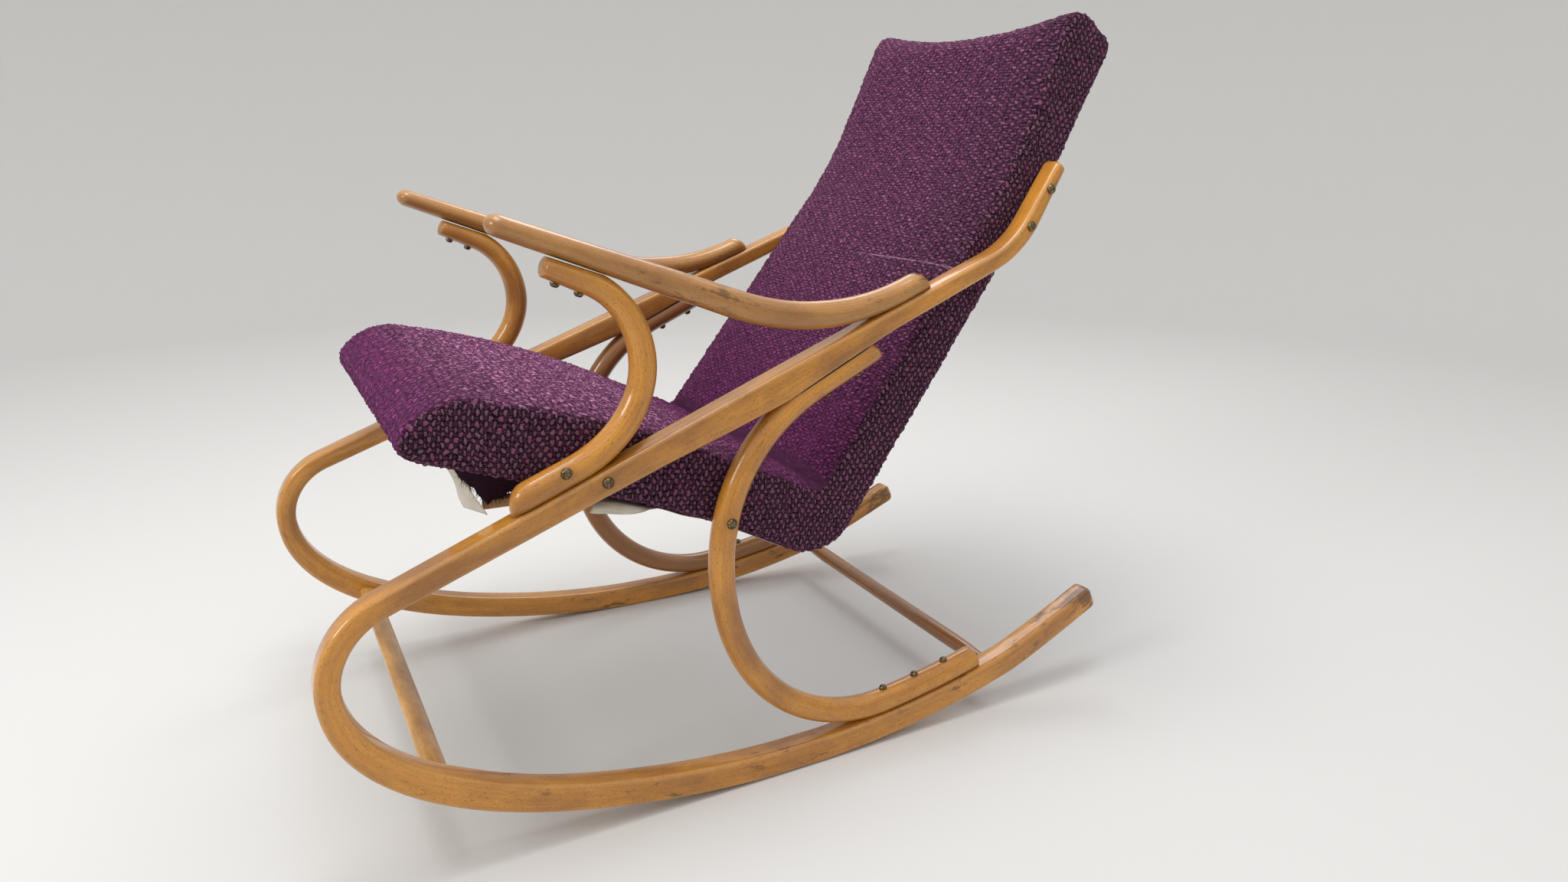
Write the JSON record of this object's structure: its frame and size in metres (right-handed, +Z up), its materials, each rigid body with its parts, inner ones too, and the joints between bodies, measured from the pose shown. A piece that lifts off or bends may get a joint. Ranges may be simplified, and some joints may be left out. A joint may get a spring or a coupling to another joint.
{
  "type": "bentwood rocking chair",
  "caption": "Rocking chair with bentwood side frames that loop from rocker to rail, scroll arm supports and hoops, and an L-shaped upholstered shell in woven cloth.",
  "frame": {"origin": "on the floor, at the middle of the chair's length and width", "axes": "+Z up, the chair faces -Y, the sitter's left is +X"},
  "size_m": [0.63, 1.08, 0.9566],
  "materials": {
    "bent_wood": "satin",
    "inner_wood": "matte",
    "brass": "satin",
    "fabric": "matte",
    "foam": "matte",
    "webbing": "matte",
    "lining": "matte"
  },
  "bodies": {
    "root": {"left_side_rail": "bent_wood", "right_side_rail": "bent_wood", "left_armrest": "bent_wood", "right_armrest": "bent_wood", "left_arm_support": "bent_wood", "right_arm_support": "bent_wood", "left_rear_hoop": "bent_wood", "right_rear_hoop": "bent_wood", "left_back_bolt_upper": "brass", "right_back_bolt_upper": "brass", "left_back_bolt_lower": "brass", "right_back_bolt_lower": "brass", "left_seat_bolt": "brass", "right_seat_bolt": "brass", "left_support_bolt": "brass", "right_support_bolt": "brass", "left_hoop_bolt": "brass", "right_hoop_bolt": "brass", "left_armrest_screw_1": "brass", "right_armrest_screw_1": "brass", "left_armrest_screw_2": "brass", "right_armrest_screw_2": "brass", "left_hoop_top_screw_1": "brass", "right_hoop_top_screw_1": "brass", "left_hoop_top_screw_2": "brass", "right_hoop_top_screw_2": "brass", "left_hoop_foot_screw_1": "brass", "right_hoop_foot_screw_1": "brass", "left_hoop_foot_screw_2": "brass", "right_hoop_foot_screw_2": "brass", "left_hoop_foot_screw_3": "brass", "right_hoop_foot_screw_3": "brass", "front_stretcher": "bent_wood", "rear_stretcher": "bent_wood", "upholstery_cover": "fabric", "seat_foam": "foam", "back_foam": "foam", "left_seat_board": "inner_wood", "right_seat_board": "inner_wood", "left_back_post": "inner_wood", "right_back_post": "inner_wood", "seat_front_rail": "inner_wood", "seat_rear_rail": "inner_wood", "back_top_rail": "inner_wood", "seat_strap_1": "webbing", "seat_strap_2": "webbing", "seat_strap_3": "webbing", "seat_strap_4": "webbing", "seat_strap_5": "webbing", "back_strap_1": "webbing", "back_strap_2": "webbing", "back_strap_3": "webbing", "back_strap_4": "webbing", "dust_cover": "lining", "torn_lining": "lining"}
  },
  "joints": []
}
